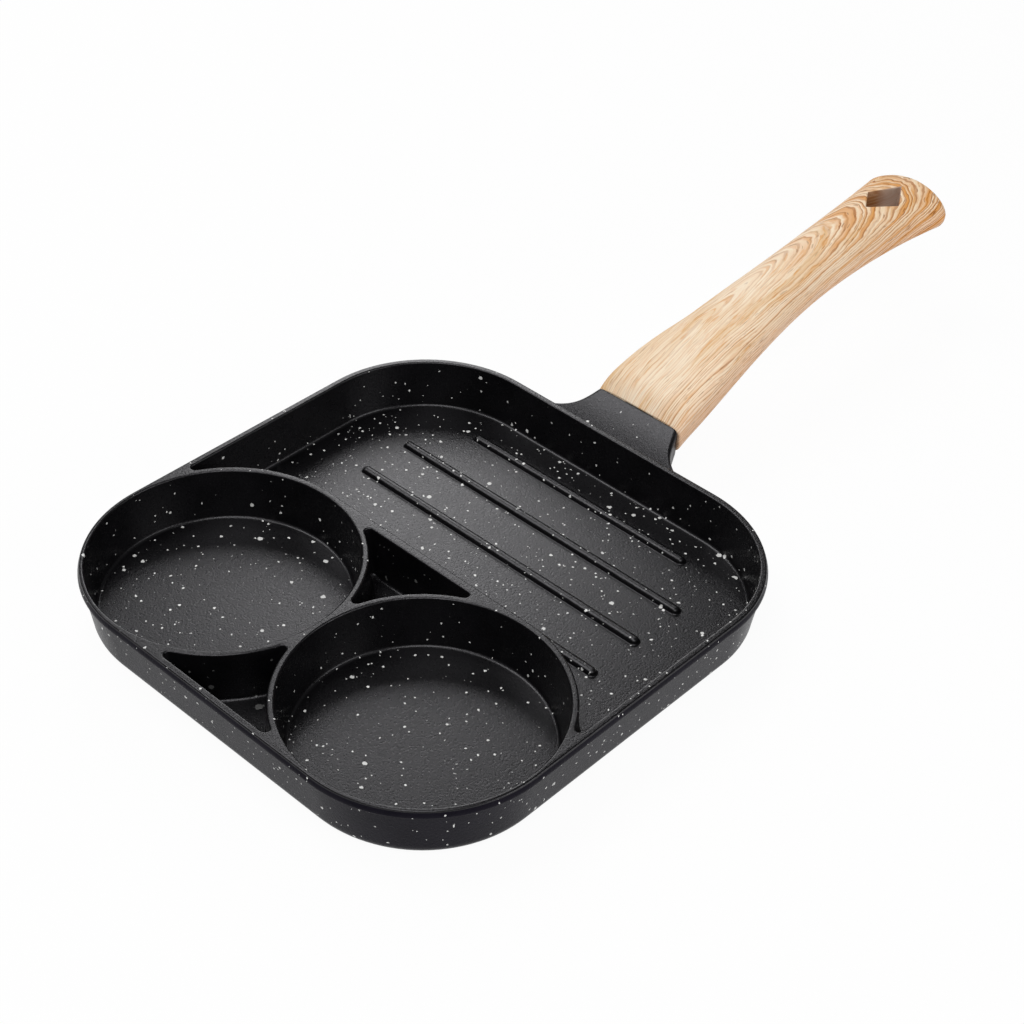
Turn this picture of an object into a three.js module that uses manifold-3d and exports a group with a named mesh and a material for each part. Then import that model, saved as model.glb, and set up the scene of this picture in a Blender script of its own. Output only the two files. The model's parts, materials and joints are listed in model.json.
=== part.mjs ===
// Three-section frying pan: one aluminium casting with two round cups, a ribbed grill bay and a neck,
// a steel plate pressed into its base, and a moulded handle held on the casting's tang by one screw.
// Millimetres, +Z up, origin at the centre of the pan's base, +X along the handle, +Y to its left.

import * as THREE from 'three';
import { mergeVertices } from 'three/addons/utils/BufferGeometryUtils.js';
import Module from 'manifold-3d';

// Pan body, measured over its lip
const PAN_LENGTH = 188;
const PAN_WIDTH = 186;
const PAN_HEIGHT = 22.5;
const FLOOR_THICKNESS = 4;
const LIP_HEIGHT = 2.8;
const LIP_OVERHANG = 1;
const WALL_TAPER = 2.1;
const BASE_ROUNDING = 5;
const FLOOR_FILLET = 2;
const WEB_FILLET = 1.5;

// Cups, nested in the two front corners and almost touching between them
const WALL_AT_CUPS = 1.1;
const CUP_WEB = 2.2;
const CUP_WALL_THICKENING = 0.3;
const CUP_RING = 2.3;
const RING_DRAFT = 0.8;

// Grill bay, divider and floor ribs
const WALL_AT_BAY = 2;
const BAY_WALL_THINNING = 0.8;
const DIVIDER_WIDTH = 3.3;
const RIB_WIDTH = 3.4;
const RIB_HEIGHT = 1.8;
const RIB_SPACING = 21;
const RIB_FROM_DIVIDER = 12.2;
const RIB_FROM_BACK = 8;
const RIB_END_GAP = 24.2;
const BACK_RIB_EXTRA_GAP = 15;

// Steel plate in the base, with the casting's studs through its holes
const PLATE_MARGIN = 24;
const PLATE_CORNER_RADIUS = 28;
const PLATE_THICKNESS = 0.8;
const PLATE_HOLE_RADIUS = 2.4;
const PLATE_HOLE_PITCH = 18;
const PLATE_HOLE_MARGIN = 4;

// Neck, from the back rim to the handle
const NECK_LENGTH = 12.8;
const NECK_ROOT_WIDTH = 48;
const NECK_ROOT_FLARE = 5.7;
const NECK_END_WIDTH = 36.6;
const NECK_ROOT_DROP = 0.3;
const NECK_END_RISE = 5.3;
const NECK_ROOT_DEPTH = 15;
const NECK_END_DEPTH = 5.8;
const NECK_CORNER_RADIUS = 1.8;
const NECK_FLARE_POWER = 4;

// Handle, along X from the neck
const HANDLE_LENGTH = 167.5;
const HANDLE_OVER_NECK = 1;
const HANDLE_SHOULDER_HEIGHT = 2.7;
const HANDLE_SHOULDER_LENGTH = 5;
const HANDLE_TILT = 22;
const HANDLE_TAIL_DROOP = 4.7;
const HANDLE_RISE = 24.5;
const HANDLE_WAIST_WIDTH = 25.2;
const HANDLE_WAIST_AT = 94;
const HANDLE_TAIL_WIDTH = 36;
const HANDLE_TAIL_ROUNDING = 9.8;
const HANDLE_TAIL_EDGE = 5;
const HANDLE_MIDDLE_THICKNESS = 19.2;
const HANDLE_TAIL_THICKNESS = 16.5;
const HOLE_LENGTH = 21;
const HOLE_WIDTH = 13.1;
const HOLE_CORNER_RADIUS = 1.5;
const HOLE_FROM_TAIL = 24;

// Squareness of the handle's sections and ends: 2 is an ellipse, and higher is boxier
const JOINT_TOP_SQUARENESS = 5;
const JOINT_BOTTOM_SQUARENESS = 3.2;
const GRIP_TOP_SQUARENESS = 1.9;
const GRIP_BOTTOM_SQUARENESS = 2.5;
const TAIL_SQUARENESS = 2.9;
const TIP_SHARE = 0.4;

// Tang inside the handle, and the screw that enters it from below
const TANG_WIDTH = 14;
const TANG_THICKNESS = 5.6;
const TANG_LENGTH = 30;
const TANG_ROOF = 3.4;
const TANG_CORNER_RADIUS = 1;
const SCREW_FROM_JOINT = 18;
const SCREW_SHANK_RADIUS = 2.4;
const SCREW_TIP_MARGIN = 0.9;
const SCREW_HEAD_RADIUS = 4.4;
const SCREW_HEAD_HEIGHT = 2.4;
const CROSS_RECESS_WIDTH = 1.1;
const CROSS_RECESS_LENGTH = 4.6;
const CROSS_RECESS_DEPTH = 1.3;
const WASHER_WIDTH = 1.9;
const WASHER_THICKNESS = 1.1;
const WASHER_SPLIT = 0.8;
const SEAT_WALL = 1.8;

// Clearances: between fitted pieces, overlap where pieces of one casting join, and cutters' overrun
const FIT_GAP = 0.3;
const WELD = 0.4;
const OVERRUN = 3;

// Smoothness of round shapes
const CORNER_STEPS = 12;
const CUP_STEPS = 56;
const ARC_STEPS = 10;
const WEB_STEPS = 4;
const SECTION_STEPS = 36;
const HANDLE_STATIONS = 28;
const NECK_STATIONS = 8;
const ROUND_STEPS = 24;
const RIB_END_STEPS = 6;
const STUD_SIDES = 8;
const FILLET_STEPS = 3;

// Places that follow from the sizes above
const rimZ = PAN_HEIGHT;
const floorZ = FLOOR_THICKNESS;
const cavityDepth = rimZ - floorZ;
const rimAtCups = LIP_OVERHANG + WALL_AT_CUPS;
const cornerRadius = (PAN_WIDTH / 2 + rimAtCups - CUP_WEB / 2) / 2;
const cupX = cornerRadius - PAN_LENGTH / 2;
const cupY = PAN_WIDTH / 2 - cornerRadius;
const cupRadius = cornerRadius - rimAtCups;
const cupDraft = WALL_TAPER + CUP_WALL_THICKENING;
const ringRadius = cupRadius + CUP_RING;
const dividerBack = cupX + ringRadius;
const dividerFront = dividerBack - DIVIDER_WIDTH;
const bayInset = LIP_OVERHANG + WALL_AT_BAY;
const bayDraft = WALL_TAPER - BAY_WALL_THINNING;
const bayFloorInset = bayInset + bayDraft;
const jointX = PAN_LENGTH / 2 + NECK_LENGTH;
const handleX = jointX + FIT_GAP;
const handleTopZ = rimZ + NECK_END_RISE + HANDLE_SHOULDER_HEIGHT;
const handleJointWidth = NECK_END_WIDTH + 2 * HANDLE_OVER_NECK;
const handleJointThickness = handleTopZ - rimZ + NECK_END_DEPTH + HANDLE_OVER_NECK;

const wasm = await Module();
wasm.setup();

// A closed three.js geometry as a solid that can be joined and cut
function solidOf(geometry) {
  const bare = geometry.clone();
  bare.deleteAttribute('normal');
  bare.deleteAttribute('uv');
  const merged = mergeVertices(bare);
  const vertProperties = new Float32Array(merged.attributes.position.array);
  const triVerts = new Uint32Array(merged.index.array);
  return new wasm.Manifold(new wasm.Mesh({ numProp: 3, vertProperties, triVerts }));
}

function meshOf(name, solid, material) {
  const { vertProperties, triVerts } = solid.getMesh();
  const geometry = new THREE.BufferGeometry();
  geometry.setAttribute('position', new THREE.BufferAttribute(vertProperties, 3));
  geometry.setIndex(new THREE.BufferAttribute(triVerts, 1));
  geometry.computeVertexNormals();
  const mesh = new THREE.Mesh(geometry, material);
  mesh.name = name;
  return mesh;
}

const joined = (solid, others) => others.reduce((whole, other) => whole.add(other), solid);
const cutBy = (solid, cutters) => cutters.reduce((whole, cutter) => whole.subtract(cutter), solid);
const evenly = (count) => Array.from({ length: count + 1 }, (_, step) => step / count);

// Skin over a row of rings with equal point counts, closed by a flat cap at each end
function loft(rings) {
  const count = rings[0].length;
  const last = (rings.length - 1) * count;
  const acrossX = rings[0].every((point) => point.x === rings[0][0].x);
  const flat = rings[0].map(({ x, y, z }) => (acrossX ? new THREE.Vector2(y, z) : new THREE.Vector2(x, y)));
  const indices = [];
  for (let start = 0; start < last; start += count) {
    for (let i = 0; i < count; i += 1) {
      const a = start + i;
      const b = start + ((i + 1) % count);
      indices.push(a, b, b + count, a, b + count, a + count);
    }
  }
  THREE.ShapeUtils.triangulateShape(flat, []).forEach(([a, b, c]) => {
    indices.push(a, c, b, last + a, last + b, last + c);
  });
  const geometry = new THREE.BufferGeometry().setFromPoints(rings.flat());
  geometry.setIndex(indices);
  return geometry;
}

// Rounded rectangle about the origin, anticlockwise
function roundedRectangle(width, height, radius, steps) {
  const corners = [[1, 1], [-1, 1], [-1, -1], [1, -1]];
  return corners.flatMap(([sideX, sideY], quarter) => evenly(steps).map((part) => {
    const angle = (quarter + part) * Math.PI / 2;
    return new THREE.Vector2(
      sideX * (width / 2 - radius) + radius * Math.cos(angle),
      sideY * (height / 2 - radius) + radius * Math.sin(angle),
    );
  }));
}

const flatRing = (outline, z) => outline.map((point) => new THREE.Vector3(point.x, point.y, z));

// The pan's outline, drawn in from the lip by an inset, at one height
function panRing(inset, z) {
  const radius = cornerRadius - inset;
  return flatRing(roundedRectangle(PAN_LENGTH - 2 * inset, PAN_WIDTH - 2 * inset, radius, CORNER_STEPS), z);
}

// Quarter round from a flat face up into a wall: how far it still stands in from the wall, and its height
function quarterRound(radius) {
  return evenly(FILLET_STEPS).map((part) => ({
    inward: radius * (1 - Math.sin(part * Math.PI / 2)),
    up: radius * (1 - Math.cos(part * Math.PI / 2)),
  }));
}

// Solid of revolution about an upright axis, from its radius and height pairs
function turned(profile, x, y) {
  const points = profile.map(([radius, z]) => new THREE.Vector2(radius, z));
  const geometry = new THREE.LatheGeometry(points, CUP_STEPS);
  return solidOf(geometry.rotateX(Math.PI / 2).translate(x, y, 0));
}

// Outside of the pan: rounded base edge, tapered wall and an overhanging lip
function panBody() {
  const baseInset = LIP_OVERHANG + WALL_TAPER;
  return solidOf(loft([
    ...quarterRound(BASE_ROUNDING).map(({ inward, up }) => panRing(baseInset + inward, up)),
    panRing(LIP_OVERHANG, rimZ - LIP_HEIGHT),
    panRing(0, rimZ - LIP_HEIGHT),
    panRing(0, rimZ),
  ]));
}

// Hollow of one cup: a drafted wall that rounds into a flat floor
function cupHollow(side) {
  const floorRadius = cupRadius - cupDraft;
  const slope = cupDraft / cavityDepth;
  return turned([
    [0, floorZ],
    ...quarterRound(FLOOR_FILLET).map(({ inward, up }) => [floorRadius - inward, floorZ + up]),
    [cupRadius, rimZ],
    [cupRadius + slope * OVERRUN, rimZ + OVERRUN],
    [0, rimZ + OVERRUN],
  ], cupX, side * cupY);
}

// Points along an arc, without its last one, which is the next stretch's first
function arc(x, y, radius, from, to, steps) {
  return evenly(steps).slice(0, -1).map((part) => {
    const angle = THREE.MathUtils.lerp(from, to, part);
    return new THREE.Vector2(x + radius * Math.cos(angle), y + radius * Math.sin(angle));
  });
}

// Closed pocket between the two cup rings and a straight wall, seen from the line of the cups' centres:
// three rounded corners, two arcs of the rings and the wall itself
function pocketOutline(ring, wallDistance) {
  const reach = ring + WEB_FILLET;
  const tipX = Math.sqrt(reach ** 2 - cupY ** 2);
  const cornerX = wallDistance - WEB_FILLET;
  const cornerY = cupY - Math.sqrt(reach ** 2 - cornerX ** 2);
  const toTip = Math.atan2(cupY, tipX);
  const toCorner = Math.atan2(cupY - cornerY, cornerX);
  return [
    ...arc(tipX, 0, WEB_FILLET, Math.PI - toTip, Math.PI + toTip, WEB_STEPS),
    ...arc(0, -cupY, ring, toTip, toCorner, ARC_STEPS),
    ...arc(cornerX, -cornerY, WEB_FILLET, toCorner - Math.PI, 0, WEB_STEPS),
    ...arc(cornerX, cornerY, WEB_FILLET, 0, Math.PI - toCorner, WEB_STEPS),
    ...arc(0, cupY, ring, -toCorner, -toTip, ARC_STEPS),
  ];
}

// Grill bay: divider, the outer sides of both cup rings, two rounded wedge tips, side walls and back
function bayOutline(ring, inset) {
  const sideY = PAN_WIDTH / 2 - inset;
  const tipY = sideY - WEB_FILLET;
  const tipX = Math.sqrt((ring + WEB_FILLET) ** 2 - (tipY - cupY) ** 2);
  const toTip = Math.atan2(tipY - cupY, tipX);
  const backX = PAN_LENGTH / 2 - cornerRadius;
  const corner = cornerRadius - inset;
  const quarter = Math.PI / 2;
  return [
    ...arc(cupX, cupY, ring, toTip, 0, ARC_STEPS),
    new THREE.Vector2(cupX + ring, cupY),
    ...arc(cupX, -cupY, ring, 0, -toTip, ARC_STEPS),
    ...arc(cupX + tipX, -tipY, WEB_FILLET, -Math.PI - toTip, -quarter, WEB_STEPS),
    new THREE.Vector2(cupX + tipX, -sideY),
    ...arc(backX, -cupY, corner, -quarter, 0, CORNER_STEPS),
    ...arc(backX, cupY, corner, 0, quarter, CORNER_STEPS),
    new THREE.Vector2(backX, sideY),
    ...arc(cupX + tipX, tipY, WEB_FILLET, quarter, Math.PI + toTip, WEB_STEPS),
  ];
}

// Hollow with drafted walls and a rounded floor, from its outline at a given draw-in of rings and walls
function draftedHollow(outlineAt) {
  const rimOutline = outlineAt(0, 0);
  const lowerRings = quarterRound(FLOOR_FILLET).map(({ inward, up }) => {
    const outline = outlineAt(RING_DRAFT + inward, bayDraft + inward);
    return flatRing(outline, floorZ + up);
  });
  return solidOf(loft([
    ...lowerRings,
    flatRing(rimOutline, rimZ),
    flatRing(rimOutline, rimZ + OVERRUN),
  ]));
}

function bayHollow() {
  return draftedHollow((ringGrow, wallGrow) => bayOutline(ringRadius + ringGrow, bayInset + wallGrow));
}

function innerPocket() {
  return draftedHollow((ringGrow) => {
    const outline = pocketOutline(ringRadius + ringGrow, dividerFront - cupX - ringGrow);
    return outline.map((point) => new THREE.Vector2(cupX + point.x, point.y));
  });
}

function outerPocket() {
  const frontDistance = cornerRadius - bayInset;
  return draftedHollow((ringGrow, wallGrow) => {
    const outline = pocketOutline(ringRadius + ringGrow, frontDistance - wallGrow);
    return outline.map((point) => new THREE.Vector2(cupX - point.x, -point.y));
  });
}

// Round-topped floor ribs, parallel to the divider; the one nearest the handle is shorter
function ribs() {
  const firstX = dividerBack + RIB_FROM_DIVIDER;
  const lastX = PAN_LENGTH / 2 - bayFloorInset - RIB_FROM_BACK;
  const fullLength = PAN_WIDTH - 2 * (bayFloorInset + RIB_END_GAP);
  const count = Math.max(1, Math.floor((lastX - firstX) / RIB_SPACING) + 1);
  return Array.from({ length: count }, (_, index) => {
    const length = index === count - 1 ? fullLength - 2 * BACK_RIB_EXTRA_GAP : fullLength;
    const foot = roundedRectangle(RIB_WIDTH, length, RIB_WIDTH / 2, RIB_END_STEPS);
    const crown = roundedRectangle(RIB_WIDTH / 2, length - RIB_WIDTH / 2, RIB_WIDTH / 4, RIB_END_STEPS);
    return solidOf(loft([
      flatRing(foot, floorZ - WELD),
      flatRing(foot, floorZ + RIB_HEIGHT / 2),
      flatRing(crown, floorZ + RIB_HEIGHT),
    ]).translate(firstX + index * RIB_SPACING, 0, 0));
  });
}

// Rounded rectangular section across the X axis
function acrossX(x, width, top, bottom, radius) {
  const outline = roundedRectangle(width, top - bottom, radius, SECTION_STEPS / 4);
  return outline.map((point) => new THREE.Vector3(x, point.x, (top + bottom) / 2 + point.y));
}

// Neck cast on the back wall: it flares into the wall at its root, and draws in and rises to the handle
function neck() {
  const { lerp } = THREE.MathUtils;
  const buriedX = PAN_LENGTH / 2 - bayInset + FIT_GAP;
  const rootX = PAN_LENGTH / 2 - LIP_OVERHANG;
  const ring = (x, along) => acrossX(
    x,
    lerp(NECK_ROOT_WIDTH, NECK_END_WIDTH, along) + 2 * NECK_ROOT_FLARE * (1 - along) ** NECK_FLARE_POWER,
    rimZ + lerp(-NECK_ROOT_DROP, NECK_END_RISE, along),
    rimZ - lerp(NECK_ROOT_DEPTH, NECK_END_DEPTH, along),
    NECK_CORNER_RADIUS,
  );
  const rings = evenly(NECK_STATIONS).map((along) => ring(lerp(rootX, jointX, along), along));
  return solidOf(loft([ring(buriedX, 0), ...rings]));
}

// Frame of the tang: its X runs up the handle's slope from the joint, and its Z out of the handle's top
const tangFrame = new THREE.Matrix4()
  .makeTranslation(jointX, 0, handleTopZ)
  .multiply(new THREE.Matrix4().makeRotationY(THREE.MathUtils.degToRad(-HANDLE_TILT)));

// Heights in that frame, from the tang down through the handle's wall to the screw's head
const tangTop = -TANG_ROOF;
const tangBottom = tangTop - TANG_THICKNESS;
const shankTop = tangTop - SCREW_TIP_MARGIN;
const seatZ = tangBottom - FIT_GAP - SEAT_WALL;
const washerTop = seatZ - FIT_GAP;
const washerBottom = washerTop - WASHER_THICKNESS;
const headTop = washerBottom - FIT_GAP;
const headBottom = headTop - SCREW_HEAD_HEIGHT;
const washerBore = SCREW_SHANK_RADIUS + FIT_GAP;
const washerRadius = washerBore + WASHER_WIDTH;
const counterboreRadius = Math.max(washerRadius, SCREW_HEAD_RADIUS) + FIT_GAP;

// Flat bar along the tang frame's X, grown all round by a clearance
function tangBar(from, to, grow) {
  const section = (x) => acrossX(
    x,
    TANG_WIDTH + 2 * grow,
    tangTop + grow,
    tangBottom - grow,
    TANG_CORNER_RADIUS + grow,
  );
  return solidOf(loft([section(from), section(to)]).applyMatrix4(tangFrame));
}

// Round and square bars on the screw's axis
function screwRound(radius, bottom, top) {
  const geometry = new THREE.CylinderGeometry(radius, radius, top - bottom, ROUND_STEPS);
  geometry.rotateX(Math.PI / 2).translate(SCREW_FROM_JOINT, 0, (bottom + top) / 2);
  return solidOf(geometry.applyMatrix4(tangFrame));
}

function screwBox(sizeX, sizeY, bottom, top, offsetX = 0) {
  const geometry = new THREE.BoxGeometry(sizeX, sizeY, top - bottom);
  geometry.translate(SCREW_FROM_JOINT + offsetX, 0, (bottom + top) / 2);
  return solidOf(geometry.applyMatrix4(tangFrame));
}

// Rounded square of the plate or, grown by a clearance, of its seat
function plateBlank(grow, bottom, top) {
  const outline = roundedRectangle(
    PAN_LENGTH - 2 * PLATE_MARGIN + 2 * grow,
    PAN_WIDTH - 2 * PLATE_MARGIN + 2 * grow,
    PLATE_CORNER_RADIUS + grow,
    CORNER_STEPS,
  );
  return solidOf(loft([flatRing(outline, bottom), flatRing(outline, top)]));
}

// Bars on the plate's hole pattern: a square grid with none at the middle, kept inside the plate's edge
function plateBars(radius, bottom, top) {
  const edge = PLATE_MARGIN + PLATE_HOLE_RADIUS + PLATE_HOLE_MARGIN;
  const limitX = PAN_LENGTH / 2 - edge;
  const limitY = PAN_WIDTH / 2 - edge;
  const cornerReach = PLATE_CORNER_RADIUS - PLATE_HOLE_RADIUS - PLATE_HOLE_MARGIN;
  const inside = ([x, y]) => Math.hypot(
    Math.max(0, Math.abs(x) - limitX + cornerReach),
    Math.max(0, Math.abs(y) - limitY + cornerReach),
  ) <= cornerReach;
  const places = (limit) => {
    const perSide = Math.floor(limit / PLATE_HOLE_PITCH + 0.5);
    return Array.from({ length: 2 * perSide }, (_, i) => (i - perSide + 0.5) * PLATE_HOLE_PITCH);
  };
  const centres = places(limitX).flatMap((x) => places(limitY).map((y) => [x, y])).filter(inside);
  return centres.map(([x, y]) => {
    const geometry = new THREE.CylinderGeometry(radius, radius, top - bottom, STUD_SIDES);
    return solidOf(geometry.rotateX(Math.PI / 2).translate(x, y, (bottom + top) / 2));
  });
}

function panCasting() {
  const plateSeat = plateBlank(FIT_GAP, -OVERRUN, PLATE_THICKNESS);
  const pan = cutBy(panBody(), [
    cupHollow(1),
    cupHollow(-1),
    bayHollow(),
    innerPocket(),
    outerPocket(),
    plateSeat,
  ]);
  const studs = plateBars(PLATE_HOLE_RADIUS - FIT_GAP, 0, PLATE_THICKNESS + WELD);
  const whole = joined(pan, [...ribs(), ...studs, neck(), tangBar(-OVERRUN, TANG_LENGTH, 0)]);
  const screwHole = screwRound(SCREW_SHANK_RADIUS + FIT_GAP, tangBottom - OVERRUN, shankTop + FIT_GAP);
  return whole.subtract(screwHole);
}

function inductionPlate() {
  const holes = plateBars(PLATE_HOLE_RADIUS, -OVERRUN, PLATE_THICKNESS + OVERRUN);
  return cutBy(plateBlank(0, 0, PLATE_THICKNESS), holes);
}

// Handle's top line in side view: climbs from the joint, levels off and droops at the tail
const third = HANDLE_LENGTH / 3;
const climb = third * Math.tan(THREE.MathUtils.degToRad(HANDLE_TILT));
const droop = third * Math.tan(THREE.MathUtils.degToRad(HANDLE_TAIL_DROOP));
const topLine = new THREE.CubicBezierCurve(
  new THREE.Vector2(0, 0),
  new THREE.Vector2(third, climb),
  new THREE.Vector2(2 * third, HANDLE_RISE + droop),
  new THREE.Vector2(HANDLE_LENGTH, HANDLE_RISE),
);

// Thickness swells from the joint to the middle and thins to the tail
const swell = 2 * HANDLE_MIDDLE_THICKNESS - (handleJointThickness + HANDLE_TAIL_THICKNESS) / 2;
const thicknessLine = new THREE.QuadraticBezierCurve(
  new THREE.Vector2(0, handleJointThickness),
  new THREE.Vector2(HANDLE_LENGTH / 2, swell),
  new THREE.Vector2(HANDLE_LENGTH, HANDLE_TAIL_THICKNESS),
);

// Share of the full size near the tail: whole until the rounding starts, then falling away to the tip
function roundedEnd(along, rounding) {
  const past = Math.max(0, (along - HANDLE_LENGTH + rounding) / rounding);
  return (1 - past ** TAIL_SQUARENESS) ** (1 / TAIL_SQUARENESS);
}

// Width draws in from the joint to the waist and flares out again to the tail
function handleWidth(along) {
  const { lerp, smoothstep } = THREE.MathUtils;
  if (along < HANDLE_WAIST_AT) {
    return lerp(handleJointWidth, HANDLE_WAIST_WIDTH, smoothstep(along, 0, HANDLE_WAIST_AT));
  }
  const flareEnd = HANDLE_LENGTH - HANDLE_TAIL_ROUNDING;
  const flare = Math.min(1, (along - HANDLE_WAIST_AT) / (flareEnd - HANDLE_WAIST_AT));
  return lerp(HANDLE_WAIST_WIDTH, HANDLE_TAIL_WIDTH, flare ** 2) * roundedEnd(along, HANDLE_TAIL_ROUNDING);
}

// Point on a unit oval at a share of a full turn, with its own squareness above and below
function ovalPoint(turn, topSquareness, bottomSquareness) {
  const across = Math.cos(2 * Math.PI * turn);
  const up = Math.sin(2 * Math.PI * turn);
  const power = 2 / (up > 0 ? topSquareness : bottomSquareness);
  const squared = (value) => Math.sign(value) * Math.abs(value) ** power;
  return new THREE.Vector2(squared(across), squared(up));
}

// One section of the handle: boxy at the joint, where a shoulder rises over the neck, and oval along the grip
function handleRing(along) {
  const { lerp, smoothstep } = THREE.MathUtils;
  const part = along / HANDLE_LENGTH;
  const thickness = thicknessLine.getPoint(part).y;
  const shoulder = Math.max(0, 1 - along / HANDLE_SHOULDER_LENGTH) ** 2 * HANDLE_SHOULDER_HEIGHT;
  const lineZ = handleTopZ + topLine.getPoint(part).y;
  const middle = lineZ - (thickness + shoulder) / 2;
  const halfHeight = (thickness - shoulder) / 2 * Math.max(roundedEnd(along, HANDLE_TAIL_EDGE), TIP_SHARE);
  const halfWidth = handleWidth(along) / 2;
  const soften = smoothstep(along, 0, HANDLE_WAIST_AT / 2);
  const topSquareness = lerp(JOINT_TOP_SQUARENESS, GRIP_TOP_SQUARENESS, soften);
  const bottomSquareness = lerp(JOINT_BOTTOM_SQUARENESS, GRIP_BOTTOM_SQUARENESS, soften);
  return evenly(SECTION_STEPS).slice(0, -1).map((turn) => {
    const point = ovalPoint(turn, topSquareness, bottomSquareness);
    return new THREE.Vector3(handleX + along, halfWidth * point.x, middle + halfHeight * point.y);
  });
}

// Upright lozenge with rounded corners, through the handle near its tail
function hangingHole() {
  const endX = HOLE_LENGTH / 2 - HOLE_CORNER_RADIUS;
  const sideY = HOLE_WIDTH / 2 - HOLE_CORNER_RADIUS;
  const faces = Math.atan2(endX, sideY);
  const half = Math.PI;
  const outline = [
    ...arc(endX, 0, HOLE_CORNER_RADIUS, -faces, faces, WEB_STEPS),
    ...arc(0, sideY, HOLE_CORNER_RADIUS, faces, half - faces, WEB_STEPS),
    ...arc(-endX, 0, HOLE_CORNER_RADIUS, half - faces, half + faces, WEB_STEPS),
    ...arc(0, -sideY, HOLE_CORNER_RADIUS, half + faces, 2 * half - faces, WEB_STEPS),
  ];
  const top = handleTopZ + climb + droop + HANDLE_RISE;
  const cutter = loft([flatRing(outline, 0), flatRing(outline, top)]);
  return solidOf(cutter.translate(handleX + HANDLE_LENGTH - HOLE_FROM_TAIL, 0, 0));
}

function handle() {
  const stations = evenly(HANDLE_STATIONS).map((part) => HANDLE_LENGTH * (1 - Math.cos(part * Math.PI)) / 2);
  stations[stations.length - 1] -= FIT_GAP;
  const body = solidOf(loft(stations.map(handleRing)));
  return cutBy(body, [
    hangingHole(),
    tangBar(-2 * OVERRUN, TANG_LENGTH + FIT_GAP, FIT_GAP),
    screwRound(SCREW_SHANK_RADIUS + FIT_GAP, seatZ - OVERRUN, tangBottom),
    screwRound(counterboreRadius, headBottom - 2 * OVERRUN, seatZ),
  ]);
}

function handleScrew() {
  const recessTop = headBottom + CROSS_RECESS_DEPTH;
  const screw = joined(screwRound(SCREW_SHANK_RADIUS, headTop - WELD, shankTop), [
    screwRound(SCREW_HEAD_RADIUS, headBottom, headTop),
  ]);
  return cutBy(screw, [
    screwBox(CROSS_RECESS_LENGTH, CROSS_RECESS_WIDTH, headBottom - OVERRUN, recessTop),
    screwBox(CROSS_RECESS_WIDTH, CROSS_RECESS_LENGTH, headBottom - OVERRUN, recessTop),
  ]);
}

function screwWasher() {
  const ring = screwRound(washerRadius, washerBottom, washerTop);
  const bore = screwRound(washerBore, washerBottom - OVERRUN, washerTop + OVERRUN);
  const splitAt = washerRadius / 2 + WELD;
  const split = screwBox(washerRadius, WASHER_SPLIT, washerBottom - OVERRUN, washerTop + OVERRUN, splitAt);
  return cutBy(ring, [bore, split]);
}

const coatedAluminium = new THREE.MeshStandardMaterial({ color: 0x1f1f21, roughness: 0.5, metalness: 0.1 });
const brushedSteel = new THREE.MeshStandardMaterial({ color: 0xa8a9ad, roughness: 0.35, metalness: 1 });
const woodPrint = new THREE.MeshStandardMaterial({ color: 0xd9b483, roughness: 0.45, metalness: 0 });
const zincSteel = new THREE.MeshStandardMaterial({ color: 0x9c9ea2, roughness: 0.3, metalness: 1 });

const fryingPan = new THREE.Group();
fryingPan.add(
  meshOf('pan_casting', panCasting(), coatedAluminium),
  meshOf('induction_plate', inductionPlate(), brushedSteel),
  meshOf('handle', handle(), woodPrint),
  meshOf('handle_screw', handleScrew(), zincSteel),
  meshOf('screw_washer', screwWasher(), zincSteel),
);

export default fryingPan;
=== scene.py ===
import json
import math

import bpy
from mathutils import Matrix, Vector

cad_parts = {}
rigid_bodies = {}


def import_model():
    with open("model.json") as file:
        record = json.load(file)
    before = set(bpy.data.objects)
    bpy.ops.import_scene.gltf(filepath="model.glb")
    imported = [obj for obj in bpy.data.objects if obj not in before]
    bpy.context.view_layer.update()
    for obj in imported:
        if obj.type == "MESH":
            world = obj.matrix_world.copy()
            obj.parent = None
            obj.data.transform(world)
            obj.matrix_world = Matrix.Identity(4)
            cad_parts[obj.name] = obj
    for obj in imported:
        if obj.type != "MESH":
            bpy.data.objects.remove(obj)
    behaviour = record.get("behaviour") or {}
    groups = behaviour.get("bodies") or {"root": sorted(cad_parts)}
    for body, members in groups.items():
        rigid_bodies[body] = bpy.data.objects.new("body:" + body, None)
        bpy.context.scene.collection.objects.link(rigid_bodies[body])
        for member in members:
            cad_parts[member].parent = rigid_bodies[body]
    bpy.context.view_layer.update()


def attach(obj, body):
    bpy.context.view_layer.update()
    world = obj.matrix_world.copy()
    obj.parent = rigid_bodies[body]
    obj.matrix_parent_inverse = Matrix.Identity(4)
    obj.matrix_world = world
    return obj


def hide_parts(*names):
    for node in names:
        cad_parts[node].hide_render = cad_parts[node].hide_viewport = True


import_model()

# The casting's outside: a square pan of die-cast aluminium with wide round corners, a tapered wall, a
# rounded base edge and an overhanging lip. It is drawn in millimetres, as outlines of arcs and straights
# that are traced height by height and bridged into walls.
PAN_LENGTH, PAN_WIDTH = 188, 186
CORNER_RADIUS, CORNER_STEPS = 47, 28
RIM_Z, FLOOR_Z = 22.5, 4
WALL_TAPER, BASE_ROUNDING, EDGE_ROUNDING = 2.1, 5, 0.65
LIP_Z, LIP_OVERHANG, LIP_LEAN = 19.7, 1, 0.5
LIP_PROFILE = (  # height over the lip's lower edge, and inset from the pan's outline
    (-0.45, 1.06), (-0.18, 0.92), (0, 0.6), (0.05, 0.32), (0.16, 0.09), (0.38, 0), (0.9, 0.05), (1.5, 0.22),
)
QUARTER = math.pi / 2
TOUCH = 0.004


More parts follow.
